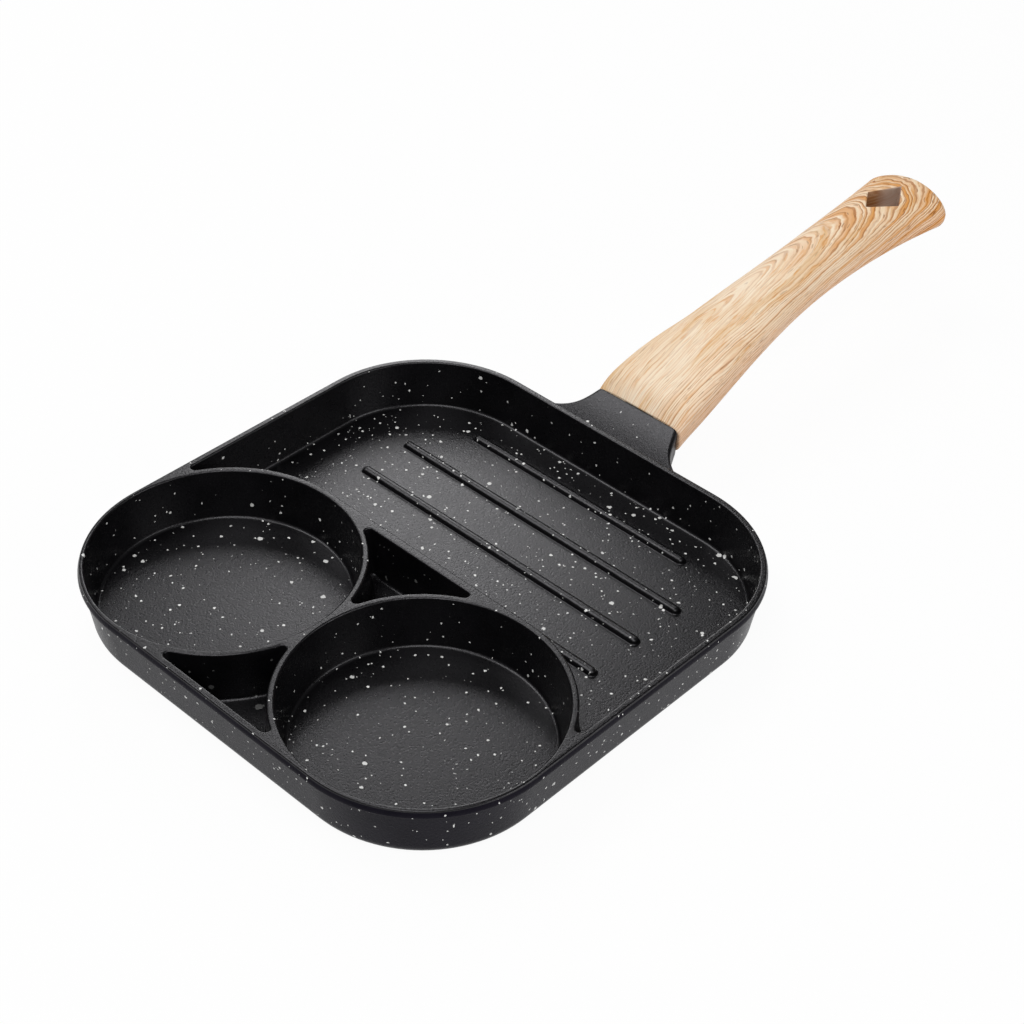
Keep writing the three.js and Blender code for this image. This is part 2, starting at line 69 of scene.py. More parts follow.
def new_piece(name):
    """An empty mesh in edit mode, ready to be traced."""
    if bpy.context.object and bpy.context.object.mode == "EDIT":
        bpy.ops.object.mode_set(mode="OBJECT")
    bpy.ops.object.select_all(action="DESELECT")
    bpy.ops.mesh.primitive_plane_add()
    piece = bpy.context.object
    piece.name = piece.data.name = name
    bpy.ops.object.mode_set(mode="EDIT")
    bpy.ops.mesh.select_mode(type="VERT")
    bpy.ops.mesh.select_all(action="SELECT")
    bpy.ops.mesh.delete(type="VERT")
    return piece


def upright(u, v, level):
    """Lays an outline level, at a height."""
    return Vector((u, v, level))


def lengthwise(u, v, level):
    """Stands an outline across the handle, at a distance along X."""
    return Vector((level, u, v))


def trace(arcs, level, lay=upright):
    """Walks one closed outline of arcs, each with its centre, radius, two angles and steps.

    Each arc is spun from the pen's point, and straights join the arcs.
    """

    def point(arc, angle):
        return lay(arc[0] + arc[2] * math.cos(angle), arc[1] + arc[2] * math.sin(angle), level)

    bpy.ops.mesh.select_all(action="DESELECT")
    bpy.ops.mesh.primitive_plane_add(size=0.01, location=point(arcs[0], arcs[0][3]))
    bpy.ops.mesh.merge(type="CENTER")
    for arc, following in zip(arcs, arcs[1:] + arcs[:1]):
        u, v, radius, start, end, steps = arc
        bpy.ops.mesh.spin(
            steps=steps, angle=start - end, center=lay(u, v, level), axis=lay(0, 0, 1))
        straight = point(following, following[3]) - point(arc, end)
        if straight.length > TOUCH:
            bpy.ops.mesh.extrude_vertices_move(TRANSFORM_OT_translate={"value": straight})
    bpy.ops.mesh.select_linked()
    bpy.ops.mesh.remove_doubles(threshold=TOUCH)


def pick_level(piece, *levels, lay=upright):
    """Selects the vertices at some levels, with the edges and faces between them."""
    axis = lay(0, 0, 1)
    bpy.ops.object.mode_set(mode="OBJECT")
    for group in (piece.data.polygons, piece.data.edges):
        group.foreach_set("select", [False] * len(group))
    for vertex in piece.data.vertices:
        vertex.select = min(abs(vertex.co.dot(axis) - level) for level in levels) < TOUCH
    bpy.ops.object.mode_set(mode="EDIT")


def stack(name, outlines, lay=upright):
    """A wall through a row of outlines with equal point counts, each given with its level."""
    piece = new_piece(name)
    for step, (level, arcs) in enumerate(outlines):
        trace(arcs, level, lay)
        if step:
            pick_level(piece, outlines[step - 1][0], level, lay=lay)
            bpy.ops.mesh.bridge_edge_loops()
    return piece


def fill_level(piece, level, lay=upright):
    """Fills the open outlines at a level with faces."""
    pick_level(piece, level, lay=lay)
    bpy.ops.mesh.fill()


def rounded_square(length, width, radius, steps=CORNER_STEPS):
    """Four quarter arcs of a rounded rectangle about the origin."""
    corners = ((1, 1), (-1, 1), (-1, -1), (1, -1))
    return [
        (x * (length / 2 - radius), y * (width / 2 - radius), radius,
         turn * QUARTER, (turn + 1) * QUARTER, steps)
        for turn, (x, y) in enumerate(corners)
    ]


def pan_outline(inset):
    return rounded_square(PAN_LENGTH - 2 * inset, PAN_WIDTH - 2 * inset, CORNER_RADIUS - inset)


def quarter_round(radius, steps):
    """Inward and upward distances along a quarter round that leaves a floor and ends in a wall."""
    turns = [step / steps * QUARTER for step in range(steps + 1)]
    return [(radius * (1 - math.sin(turn)), radius * (1 - math.cos(turn))) for turn in turns]


wall_foot = LIP_OVERHANG + WALL_TAPER
pan_body = stack("coated_casting", [
    *((up, pan_outline(wall_foot + inward)) for inward, up in quarter_round(BASE_ROUNDING, steps=8)),
    *((LIP_Z + up, pan_outline(inset)) for up, inset in LIP_PROFILE),
    *((RIM_Z - inward, pan_outline(LIP_LEAN + up)) for inward, up in quarter_round(EDGE_ROUNDING, steps=5)),
])

# The five hollows of the casting: two round cups, the grill bay, and two small pockets that the cups leave
# between them. Their walls are drafted, round into the floor, and round over into the rim.
FLOOR_FILLET, WEB_FILLET = 1.2, 1.5
CUP_X, CUP_Y, CUP_RADIUS, CUP_DRAFT = -47, 46, 44.9, 2.4
RING_RADIUS, RING_DRAFT = 47.2, 0.8
BAY_INSET, BAY_DRAFT = 3, 1.3
DIVIDER_WIDTH = 3.3
CUP_STEPS, BAY_RING_STEPS, POCKET_RING_STEPS, WEB_STEPS = 128, 30, 16, 8


def circle(x, y, radius, steps):
    return [(x, y, radius, 0, math.tau, steps)]


def hollow(name, outline):
    """One hollow, from its outline at a draw-in of rings and of walls, and its corners' radius."""
    floor = [
        (FLOOR_Z + up, outline(1, inward, WEB_FILLET))
        for inward, up in quarter_round(FLOOR_FILLET, steps=6)
    ]
    rim = [
        (RIM_Z - inward, outline(0, -up, WEB_FILLET + up))
        for inward, up in quarter_round(EDGE_ROUNDING, steps=5)
    ]
    return stack(name, floor + rim)


def pocket_outline(ring, wall, web):
    """Between both rings and a wall at a distance from the cups' line: three corners and two arcs."""
    reach = ring + web
    tip_x = math.sqrt(reach ** 2 - CUP_Y ** 2)
    corner_x = wall - web
    corner_y = CUP_Y - math.sqrt(reach ** 2 - corner_x ** 2)
    to_tip = math.atan2(CUP_Y, tip_x)
    to_corner = math.atan2(CUP_Y - corner_y, corner_x)
    return [
        (tip_x, 0, web, math.pi - to_tip, math.pi + to_tip, WEB_STEPS),
        (0, -CUP_Y, ring, to_tip, to_corner, POCKET_RING_STEPS),
        (corner_x, -corner_y, web, to_corner - math.pi, 0, WEB_STEPS),
        (corner_x, corner_y, web, 0, math.pi - to_corner, WEB_STEPS),
        (0, CUP_Y, ring, -to_corner, -to_tip, POCKET_RING_STEPS),
    ]


def bay_outline(ring, inset, web):
    """Divider, both rings' outer sides, two wedge tips, side walls, back corners."""
    tip_y = PAN_WIDTH / 2 - inset - web
    tip_x = math.sqrt((ring + web) ** 2 - (tip_y - CUP_Y) ** 2)
    to_tip = math.atan2(tip_y - CUP_Y, tip_x)
    back_x = PAN_LENGTH / 2 - CORNER_RADIUS
    corner = CORNER_RADIUS - inset
    return [
        (CUP_X, CUP_Y, ring, to_tip, 0, BAY_RING_STEPS),
        (CUP_X, -CUP_Y, ring, 0, -to_tip, BAY_RING_STEPS),
        (CUP_X + tip_x, -tip_y, web, -math.pi - to_tip, -QUARTER, WEB_STEPS),
        (back_x, -CUP_Y, corner, -QUARTER, 0, CORNER_STEPS),
        (back_x, CUP_Y, corner, 0, QUARTER, CORNER_STEPS),
        (CUP_X + tip_x, tip_y, web, QUARTER, math.pi + to_tip, WEB_STEPS),
    ]


def shifted(arcs, x, turned=False):
    """An outline moved along X, and turned half round where asked."""
    if turned:
        arcs = [
            (-u, -v, radius, start + math.pi, end + math.pi, steps)
            for u, v, radius, start, end, steps in arcs
        ]
    return [(x + u, *rest) for u, *rest in arcs]


divider_front = RING_RADIUS - DIVIDER_WIDTH
front_wall = CORNER_RADIUS - BAY_INSET
cups = [
    hollow(f"cup_{side}", lambda deep, inward, web: circle(
        CUP_X, side * CUP_Y, CUP_RADIUS - deep * CUP_DRAFT - inward, CUP_STEPS))
    for side in (1, -1)
]
grill_bay = hollow("grill_bay", lambda deep, inward, web: bay_outline(
    RING_RADIUS + deep * RING_DRAFT + inward, BAY_INSET + deep * BAY_DRAFT + inward, web))
inner_pocket = hollow("inner_pocket", lambda deep, inward, web: shifted(pocket_outline(
    RING_RADIUS + deep * RING_DRAFT + inward, divider_front - deep * RING_DRAFT - inward, web), CUP_X))
outer_pocket = hollow("outer_pocket", lambda deep, inward, web: shifted(pocket_outline(
    RING_RADIUS + deep * RING_DRAFT + inward, front_wall - deep * BAY_DRAFT - inward, web), CUP_X, True))

# Four floor ribs of the grill bay, cast with it: low round-topped bars, parallel to the divider, with a
# small fillet at the foot. The one nearest the handle is shorter.
RIB_PLACES = ((12.4, 129), (33.4, 129), (54.4, 129), (75.4, 99))  # place along X, and length
RIB_HALF_WIDTH, RIB_END_STEPS = 1.7, 14
RIB_SECTION = (  # height over the floor, and half width
    (0, 2.3), (0.08, 2.02), (0.28, 1.82), (0.6, 1.71), (1, 1.6),
    (1.35, 1.36), (1.6, 1.02), (1.75, 0.6), (1.8, 0.2),
)


def rib(x, length):
    end_y = length / 2 - RIB_HALF_WIDTH
    piece = stack("rib", [
        (FLOOR_Z + up, [
            (x, end_y, half_width, 0, math.pi, RIB_END_STEPS),
            (x, -end_y, half_width, math.pi, math.tau, RIB_END_STEPS),
        ])
        for up, half_width in RIB_SECTION
    ])
    fill_level(piece, FLOOR_Z + RIB_SECTION[-1][0])
    return piece


def join(whole, *others):
    """Makes several open pieces of one casting a single mesh, left in edit mode."""
    bpy.ops.object.mode_set(mode="OBJECT")
    bpy.ops.object.select_all(action="DESELECT")
    for piece in (whole, *others):
        piece.select_set(True)
    bpy.context.view_layer.objects.active = whole
    bpy.ops.object.join()
    bpy.ops.object.mode_set(mode="EDIT")


ribs = [rib(x, length) for x, length in RIB_PLACES]
join(grill_bay, *ribs)
for floor_piece in (grill_bay, *cups, inner_pocket, outer_pocket):
    join(floor_piece)
    fill_level(floor_piece, FLOOR_Z)

# The casting's underside: a shallow seat for the steel plate, with round studs of the casting that come
# up through the plate's holes and are pressed flat, so that they hold it.
PLATE_LENGTH, PLATE_WIDTH, PLATE_CORNER, PLATE_THICKNESS = 140, 138, 28, 0.8
PLATE_HOLE_RADIUS, PLATE_HOLE_PITCH, PLATE_HOLE_STEPS = 2.4, 18, 20
FIT_GAP = 0.3
STUD_FACE_Z = 0.03
STUD_EDGE = ((0.12, 0), (0.04, 0.05), (0, 0.15))  # height over the stud's face, and inset
stud_places = [
    (column * PLATE_HOLE_PITCH / 2, row * PLATE_HOLE_PITCH / 2)
    for column in range(-7, 8, 2) for row in range(-5, 6, 2)
    if not (abs(column) == 7 and abs(row) == 5)
]
seat_outline = rounded_square(
    PLATE_LENGTH + 2 * FIT_GAP, PLATE_WIDTH + 2 * FIT_GAP, PLATE_CORNER + FIT_GAP)
plate_seat = stack("plate_seat", [(0, seat_outline), (PLATE_THICKNESS, seat_outline)])


def stud(x, y):
    levels = [(PLATE_THICKNESS, 0), *((STUD_FACE_Z + up, inset) for up, inset in STUD_EDGE)]
    piece = stack("stud", [
        (z, circle(x, y, PLATE_HOLE_RADIUS - FIT_GAP - inset, PLATE_HOLE_STEPS)) for z, inset in levels
    ])
    fill_level(piece, STUD_FACE_Z)
    return piece


studs = [stud(x, y) for x, y in stud_places]
join(plate_seat, *studs)
fill_level(plate_seat, PLATE_THICKNESS)


def turn_outwards():
    """Turns the faces of the mesh in edit mode outwards, and leaves edit mode."""
    bpy.ops.mesh.select_all(action="SELECT")
    bpy.ops.mesh.normals_make_consistent(inside=False)
    bpy.ops.object.mode_set(mode="OBJECT")


# The hollows, ribs and seat become one skin with the outside: the rim is filled between their upper
# edges and the base between the seat and the base's rounding.
join(pan_body, *cups, grill_bay, inner_pocket, outer_pocket, plate_seat)
fill_level(pan_body, RIM_Z)
fill_level(pan_body, 0)
turn_outwards()

# The neck, cast on the back wall: it flares into the wall at its root, and draws in and rises to the
# handle. A flat tang goes on from it inside the handle, with a threaded hole for the handle's screw.
JOINT_X = 106.8
NECK_ROOT_X, NECK_BURIED_X, NECK_STEPS = 93, 91.3, 24
NECK_ROOT_WIDTH, NECK_ROOT_FLARE, NECK_FLARE_POWER, NECK_END_WIDTH = 48, 5.7, 4, 36.6
NECK_ROOT_DROP, NECK_END_RISE, NECK_SAG = 0.3, 5.3, 2
NECK_ROOT_DEPTH, NECK_END_DEPTH = 15, 5.8
NECK_CORNER, NECK_EDGE = 1.8, 0.7
HANDLE_TOP_Z, HANDLE_TILT = 30.5, math.radians(22)
TANG_WIDTH, TANG_TOP, TANG_BOTTOM, TANG_CORNER = 14, -3.4, -9, 1
TANG_BURIED, TANG_LENGTH = -3, 30
SCREW_AT, SCREW_STEPS, SHANK_RADIUS, SHANK_TOP = 18, 40, 2.4, -4.3
OVERRUN = 3


def lerp(start, end, part):
    return start + (end - start) * part


def neck_section(x, inset=0):
    along = max(0, (x - NECK_ROOT_X) / (JOINT_X - NECK_ROOT_X))
    top = RIM_Z + lerp(-NECK_ROOT_DROP, NECK_END_RISE, along) - NECK_SAG * along * (1 - along)
    bottom = RIM_Z - lerp(NECK_ROOT_DEPTH, NECK_END_DEPTH, along)
    flare = NECK_ROOT_FLARE * (1 - along) ** NECK_FLARE_POWER
    width = lerp(NECK_ROOT_WIDTH, NECK_END_WIDTH, along) + 2 * flare
    arcs = rounded_square(width - 2 * inset, top - bottom - 2 * inset, NECK_CORNER - inset / 2, 8)
    return [(y, z + (top + bottom) / 2, *rest) for y, z, *rest in arcs]


def closed(piece, first, last, lay=upright):
    """Fills both ends of a stack and turns its faces outwards."""
    fill_level(piece, first, lay)
    fill_level(piece, last, lay)
    turn_outwards()
    return piece


def combine(piece, other, operation):
    """Joins or cuts with another solid, which is used up."""
    step = piece.modifiers.new(operation, "BOOLEAN")
    step.operation = operation
    step.solver = "EXACT"
    step.object = other
    bpy.context.view_layer.objects.active = piece
    bpy.ops.object.modifier_apply(modifier=step.name)
    bpy.data.objects.remove(other)


# In the handle's own slope, X runs up from the joint and Z stands out of the handle's top.
handle_slope = Matrix.Translation((JOINT_X, 0, HANDLE_TOP_Z)) @ Matrix.Rotation(-HANDLE_TILT, 4, "Y")


def make_active(piece):
    bpy.ops.object.select_all(action="DESELECT")
    piece.select_set(True)
    bpy.context.view_layer.objects.active = piece


def on_slope(piece):
    make_active(piece)
    piece.matrix_world = handle_slope
    bpy.ops.object.transform_apply()
    return piece


def tang_bar(start, end, grow=0):
    """A bar of the tang's section on the slope, larger all round by a gap where it cuts the socket."""
    height = TANG_TOP - TANG_BOTTOM + 2 * grow
    arcs = rounded_square(TANG_WIDTH + 2 * grow, height, TANG_CORNER + grow, 5)
    section = [(y, z + (TANG_TOP + TANG_BOTTOM) / 2, *rest) for y, z, *rest in arcs]
    bar = stack("tang_bar", [(start, section), (end, section)], lengthwise)
    return on_slope(closed(bar, start, end, lengthwise))


def screw_outline(radius):
    return circle(SCREW_AT, 0, radius, SCREW_STEPS)


def screw_bar(radius, bottom, top):
    """A round bar about the screw's axis."""
    bar = stack("screw_bar", [(bottom, screw_outline(radius)), (top, screw_outline(radius))])
    return on_slope(closed(bar, bottom, top))


neck_stations = [lerp(NECK_ROOT_X, JOINT_X - NECK_EDGE, step / NECK_STEPS) for step in range(NECK_STEPS)]
neck_end = [(JOINT_X - back, inset) for inset, back in reversed(quarter_round(NECK_EDGE, steps=5))]
neck = closed(stack("neck", [
    (NECK_BURIED_X, neck_section(NECK_BURIED_X)),
    *((x, neck_section(x)) for x in neck_stations),
    *((x, neck_section(x, inset)) for x, inset in neck_end),
], lengthwise), NECK_BURIED_X, JOINT_X, lengthwise)
thread_bar = screw_bar(SHANK_RADIUS + FIT_GAP, TANG_BOTTOM - OVERRUN, SHANK_TOP + FIT_GAP)
combine(pan_body, neck, "UNION")
combine(pan_body, tang_bar(TANG_BURIED, TANG_LENGTH), "UNION")
combine(pan_body, thread_bar, "DIFFERENCE")

# The coat on the whole casting: sprayed satin black non-stick with pale flecks of many sizes, as on stone.
# Flecks are slices through round cells in space, so they vary in size and run over every edge. They lie
# thickest on the floors; in the two pockets most flecks are taken out, as painted shade that keeps them
# dark.
METRES = 0.001


def finish_piece(piece, smooth_angle, *materials):
    """Millimetres to metres at the origin, with smooth shading up to an angle."""
    make_active(piece)
    bpy.ops.object.mode_set(mode="EDIT")
    bpy.ops.mesh.select_all(action="SELECT")
    bpy.ops.mesh.remove_doubles(threshold=TOUCH / 4)
    bpy.ops.object.mode_set(mode="OBJECT")
    piece.scale = (METRES, METRES, METRES)
    bpy.ops.object.transform_apply()
    bpy.ops.object.shade_smooth_by_angle(angle=math.radians(smooth_angle))
    weighted = piece.modifiers.new("even_faces", "WEIGHTED_NORMAL")
    weighted.keep_sharp = True
    bpy.ops.object.modifier_apply(modifier=weighted.name)
    piece.data.materials.clear()
    for material in materials:
        piece.data.materials.append(material)


class Tone:
    """A socket of a material's nodes. Arithmetic on it adds Math nodes."""

    def __init__(self, tree, socket):
        self.tree = tree
        self.socket = socket

    @classmethod
    def of_material(cls, name):
        """A new material with no nodes yet, to call node on."""
        material = bpy.data.materials.new(name)
        material.use_nodes = True
        material.node_tree.nodes.clear()
        return material, cls(material.node_tree, None)

    @classmethod
    def of_place(cls, name):
        """A new material's object coordinates, in millimetres."""
        place = cls.of_material(name)[1].node("ShaderNodeTexCoord", output="Object")
        return place.node("ShaderNodeVectorMath", {"operation": "SCALE"}, {0: place, "Scale": 1 / METRES})

    def node(self, kind, settings=None, sockets=None, output=0):
        """One node: its settings are set first, then its sockets' values or links."""
        made = self.tree.nodes.new(kind)
        for name, value in (settings or {}).items():
            setattr(made, name, value)
        for name, value in (sockets or {}).items():
            if isinstance(value, Tone):
                self.tree.links.new(value.socket, made.inputs[name])
            else:
                made.inputs[name].default_value = value
        return Tone(self.tree, made.outputs[output]) if made.outputs else self

    def output(self, name):
        return Tone(self.tree, self.socket.node.outputs[name])

    def maths(self, operation, first, second=0.0):
        return self.node("ShaderNodeMath", {"operation": operation}, {0: first, 1: second})

    def __add__(self, other):
        return self.maths("ADD", self, other)

    def __sub__(self, other):
        return self.maths("SUBTRACT", self, other)

    def __rsub__(self, other):
        return self.maths("SUBTRACT", other, self)

    def __mul__(self, other):
        return self.maths("MULTIPLY", self, other)

    def __truediv__(self, other):
        return self.maths("DIVIDE", self, other)

    def __pow__(self, other):
        return self.maths("POWER", self, other)

    def __lt__(self, other):
        return self.maths("LESS_THAN", self, other)

    def __abs__(self):
        return self.maths("ABSOLUTE", self)

    def __floor__(self):
        return self.maths("FLOOR", self)

    __radd__ = __add__
    __rmul__ = __mul__

    def larger(self, other):
        return self.maths("MAXIMUM", self, other)

    def ease(self, low, high):
        """0 below low and 1 above high, smoothly between."""
        return self.node(
            "ShaderNodeMapRange", {"interpolation_type": "SMOOTHSTEP"},
            {"Value": self, "From Min": low, "From Max": high})

    def stretched(self, x, y, z, turn=(0, 0, 0)):
        return self.node("ShaderNodeMapping", None, {"Vector": self, "Scale": (x, y, z), "Rotation": turn})

    def noise(self, scale, detail=2.0, roughness=0.5):
        return self.node(
            "ShaderNodeTexNoise", None,
            {"Vector": self, "Scale": scale, "Detail": detail, "Roughness": roughness})

    def parts(self):
        split = self.node("ShaderNodeSeparateXYZ", None, {0: self})
        return split.output("X"), split.output("Y"), split.output("Z")

    def mix(self, first, second):
        """A colour between two others, by this tone."""
        return self.node(
            "ShaderNodeMix", {"data_type": "RGBA"}, {"Factor": self, 6: first, 7: second}, output=2)

    def surface(self, colour, roughness, bump, **constants):
        """The finished surface, with a bump of a height and a distance; returns its material."""
        height, distance = bump
        normal = self.node(
            "ShaderNodeBump", None, {"Height": height, "Distance": distance, "Strength": 1.0}, "Normal")
        sockets = {"Base Color": colour, "Roughness": roughness, "Normal": normal}
        sockets.update({name.replace("_", " "): value for name, value in constants.items()})
        shader = self.node("ShaderNodeBsdfPrincipled", None, sockets)
        self.node("ShaderNodeOutputMaterial", None, {"Surface": shader})
        return next(material for material in bpy.data.materials if material.node_tree == self.tree)


COAT_BLACK, COAT_GREY = (0.0016, 0.0015, 0.0019, 1), (0.0034, 0.0032, 0.0039, 1)
WALL_BLACK, WALL_GREY = (0.003, 0.0025, 0.005, 1), (0.0065, 0.0056, 0.0092, 1)
FLECK_WHITE = (0.88, 0.88, 0.86, 1)
FLECK_EDGE, FLECK_FADE = 0.08, 0.25
DUST_SIZES, STREAK_SIZES = (2.4, 0.2, 0.4), (4, 0.15, 0.35)  # spacing, smallest and largest radius
DROP_SIZES = (  # spacing, smallest and largest radius, share that shows, and paleness
    (3.5, 0.32, 0.55, 0.62, 1.0), (6, 0.5, 0.85, 0.4, 0.95), (12, 0.9, 1.3, 0.25, 0.85),
)
COAT_BUMP = 0.00009


def flecks(place, spacing, smallest, largest, share, paleness=1.0):
    """One size of flecks: cell centres a spacing apart, of which a share show, with random radius."""
    cells = place.node("ShaderNodeTexVoronoi", None, {"Vector": place, "Scale": 1 / spacing})
    chance = cells.node("ShaderNodeSeparateColor", None, {0: cells.output("Color")})
    size, shown, fade = chance.output("Red"), chance.output("Green"), chance.output("Blue")
    radius = smallest + (largest - smallest) * size * size
    inside = (radius - cells.output("Distance") * spacing).ease(0.0, FLECK_EDGE)
    return inside * (shown < share) * (paleness - FLECK_FADE * fade)


def in_pockets(place):
    """1 on the walls and floors of the two narrow pockets, under the rim."""
    x, y, z = place.parts()
    from_cup_x, from_cup_y = x - CUP_X, abs(y) - CUP_Y
    from_cup = (from_cup_x * from_cup_x + from_cup_y * from_cup_y) ** 0.5
    past_ring = from_cup.ease(RING_RADIUS - 0.6, RING_RADIUS + 0.2)
    between_cups = (CUP_Y / 2 - abs(y)).ease(0.0, 2.0)
    before_bay = (-DIVIDER_WIDTH / 2 - x).ease(0.0, 0.8)
    return past_ring * between_cups * before_bay * (RIM_Z - z).ease(0.5, 1.5)


def speckled_coat(name, dark, light, dust, drops, streaks, floor_flecks_and_pocket_shade=0, **constants):
    """The coat between two blacks, with a share of dust, of drops and of slanted streaks.

    With a share for the pockets, the floors get more flecks than the walls, and that share of the flecks is
    taken out of the pockets as painted shade, to keep them dark.
    """
    place = Tone.of_place(name)
    x, _, z = place.parts()
    shake = place.noise(1.1, 2.0).output("Color")
    ragged = place.node(
        "ShaderNodeVectorMath", {"operation": "MULTIPLY_ADD"}, {0: shake, 1: (0.9, 0.9, 0.9), 2: place})
    slanted = ragged.stretched(1, 1, 0.3, (0.35, 0.45, 0.3))
    on_neck = x.ease(NECK_ROOT_X, NECK_ROOT_X + 3)
    crowd = (0.45 + place.noise(0.06, 2.0).ease(0.35, 0.65) * 1.1) * (1 - 0.6 * on_neck)
    if floor_flecks_and_pocket_shade:
        on_floor = 1 - z.ease(FLOOR_Z + 1.5, FLOOR_Z + 4.5)
        in_bay = x.ease(-1.0, 2.0)
        crowd = crowd * (0.6 + on_floor * (0.6 + 0.8 * in_bay))
    fleck = flecks(ragged, *DUST_SIZES, dust * crowd)
    fleck = fleck.larger(flecks(slanted, *STREAK_SIZES, streaks * crowd))
    for spacing, smallest, largest, share, paleness in DROP_SIZES:
        fleck = fleck.larger(flecks(ragged, spacing, smallest, largest, share * drops * crowd, paleness))
    # Painted shade: most flecks are taken out in the two pockets, so that they stay dark.
    if floor_flecks_and_pocket_shade:
        fleck = fleck * (1 - floor_flecks_and_pocket_shade * in_pockets(place))
    mottle = place.noise(0.09, 4.0).ease(0.3, 0.7)
    grain = place.noise(1.3, 3.0, 0.62)
    colour = fleck.mix(mottle.mix(dark, light), FLECK_WHITE)
    roughness = 0.18 + grain * 0.26 + fleck * 0.2
    return place.surface(colour, roughness, (grain + fleck * 0.2, COAT_BUMP), **constants)


inside_coat = speckled_coat(
    "speckled_inside_coat", COAT_BLACK, COAT_GREY, dust=0.42, drops=1.0, streaks=0.3, floor_flecks_and_pocket_shade=0.85,
    Specular_IOR_Level=0.45, Specular_Tint=(0.97, 0.955, 1, 1))
outside_coat = speckled_coat(
    "speckled_outside_coat", WALL_BLACK, WALL_GREY, dust=0.9, drops=0.4, streaks=0.7,
    Specular_IOR_Level=0.08, Specular_Tint=(0.8, 0.75, 1, 1))
finish_piece(pan_body, 32, inside_coat, outside_coat)
NECK_TOP_TILT, WALL_TILT = 0.3, 0.2


def is_outside(face):
    """Walls that face away from the pan's middle, up to the lip, the neck's flanks and the underside."""
    x, y, z = (part / METRES for part in face.center)
    if x > PAN_LENGTH / 2:
        return face.normal.z < NECK_TOP_TILT
    side = Vector((
        math.copysign(max(0, abs(x) - PAN_LENGTH / 2 + CORNER_RADIUS), x),
        math.copysign(max(0, abs(y) - PAN_WIDTH / 2 + CORNER_RADIUS), y), 0))
    facing_out = side.normalized().dot(face.normal) > WALL_TILT and side.length > front_wall
    underside = z < BASE_ROUNDING and face.normal.z < 0
    return underside or (facing_out and z < RIM_Z - EDGE_ROUNDING)


bpy.ops.object.mode_set(mode="EDIT")
bpy.ops.mesh.select_mode(type="FACE")
bpy.ops.mesh.select_all(action="DESELECT")
bpy.ops.object.mode_set(mode="OBJECT")
for face in pan_body.data.polygons:
    face.select = is_outside(face)
bpy.ops.object.mode_set(mode="EDIT")
pan_body.active_material_index = 1
bpy.ops.object.material_slot_assign()
bpy.ops.object.mode_set(mode="OBJECT")
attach(pan_body, "root")
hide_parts("pan_casting")

# The induction plate: thin perforated stainless steel, pressed flush into the seat in the casting's base.
# Its outline and holes are traced, filled and raised to its thickness.
STEEL_DARK, STEEL_LIGHT = (0.46, 0.46, 0.47, 1), (0.62, 0.62, 0.63, 1)
BRUSH_BUMP = 0.000012
base_plate = new_piece("induction_base_plate")
trace(rounded_square(PLATE_LENGTH, PLATE_WIDTH, PLATE_CORNER), 0)
for hole_x, hole_y in stud_places:
    trace(circle(hole_x, hole_y, PLATE_HOLE_RADIUS, PLATE_HOLE_STEPS), 0)
fill_level(base_plate, 0)
bpy.ops.mesh.select_all(action="SELECT")
bpy.ops.mesh.extrude_region_move(TRANSFORM_OT_translate={"value": (0, 0, PLATE_THICKNESS)})
turn_outwards()


def brushed_steel():
    place = Tone.of_place("brushed_plate_steel")
    lines = place.stretched(0.02, 3, 1).noise(1.0, 4.0)
    cloud = place.noise(0.05, 3.0)
    colour = lines.mix(STEEL_DARK, STEEL_LIGHT)
    return place.surface(colour, 0.24 + lines * 0.16 + cloud * 0.1, (lines, BRUSH_BUMP), Metallic=1.0)


finish_piece(base_plate, 30, brushed_steel())
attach(base_plate, "root")
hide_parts("induction_plate")

# The handle: one moulding of heat-proof resin that climbs from the neck, levels off and widens to a round
# tail, with a lozenge hole to hang it by. A film print of pale ash wood covers it.
HANDLE_X, HANDLE_LENGTH = 107.1, 167.5
HANDLE_RISE, TAIL_DROOP = 24.5, math.radians(4.7)
JOINT_WIDTH, WAIST_WIDTH, TAIL_WIDTH, WAIST_AT = 38.6, 25.2, 36, 94
JOINT_THICKNESS, MIDDLE_THICKNESS, TAIL_THICKNESS = 14.8, 19.2, 16.5
JOINT_TOP_SQUARENESS, JOINT_BOTTOM_SQUARENESS = 5, 3.2
GRIP_TOP_SQUARENESS, GRIP_BOTTOM_SQUARENESS = 1.9, 2.5
SHOULDER_HEIGHT, SHOULDER_LENGTH = 2.7, 8
TAIL_ROUNDING, TAIL_EDGE, TAIL_SQUARENESS, TIP_SHARE = 7, 3.5, 2.5, 0.16
FRONT_ROUNDING, SKIN = 0.7, 0.02
HANDLE_ROWS, HANDLE_COLUMNS = 120, 96
third = HANDLE_LENGTH / 3
climb = third * math.tan(HANDLE_TILT)
crest = HANDLE_RISE + third * math.tan(TAIL_DROOP)
swell = 2 * MIDDLE_THICKNESS - (JOINT_THICKNESS + TAIL_THICKNESS) / 2
TOP_LINE = (HANDLE_TOP_Z, 3 * climb, 3 * crest - 6 * climb, HANDLE_RISE + 3 * climb - 3 * crest)


def smoothstep(part):
    part = min(max(part, 0), 1)
    return part * part * (3 - 2 * part)


def rounded_end(along, rounding):
    """The share of its width or height that the handle has left near its tail."""
    past = max(0, (along - HANDLE_LENGTH + rounding) / rounding)
    return (1 - past ** TAIL_SQUARENESS) ** (1 / TAIL_SQUARENESS)


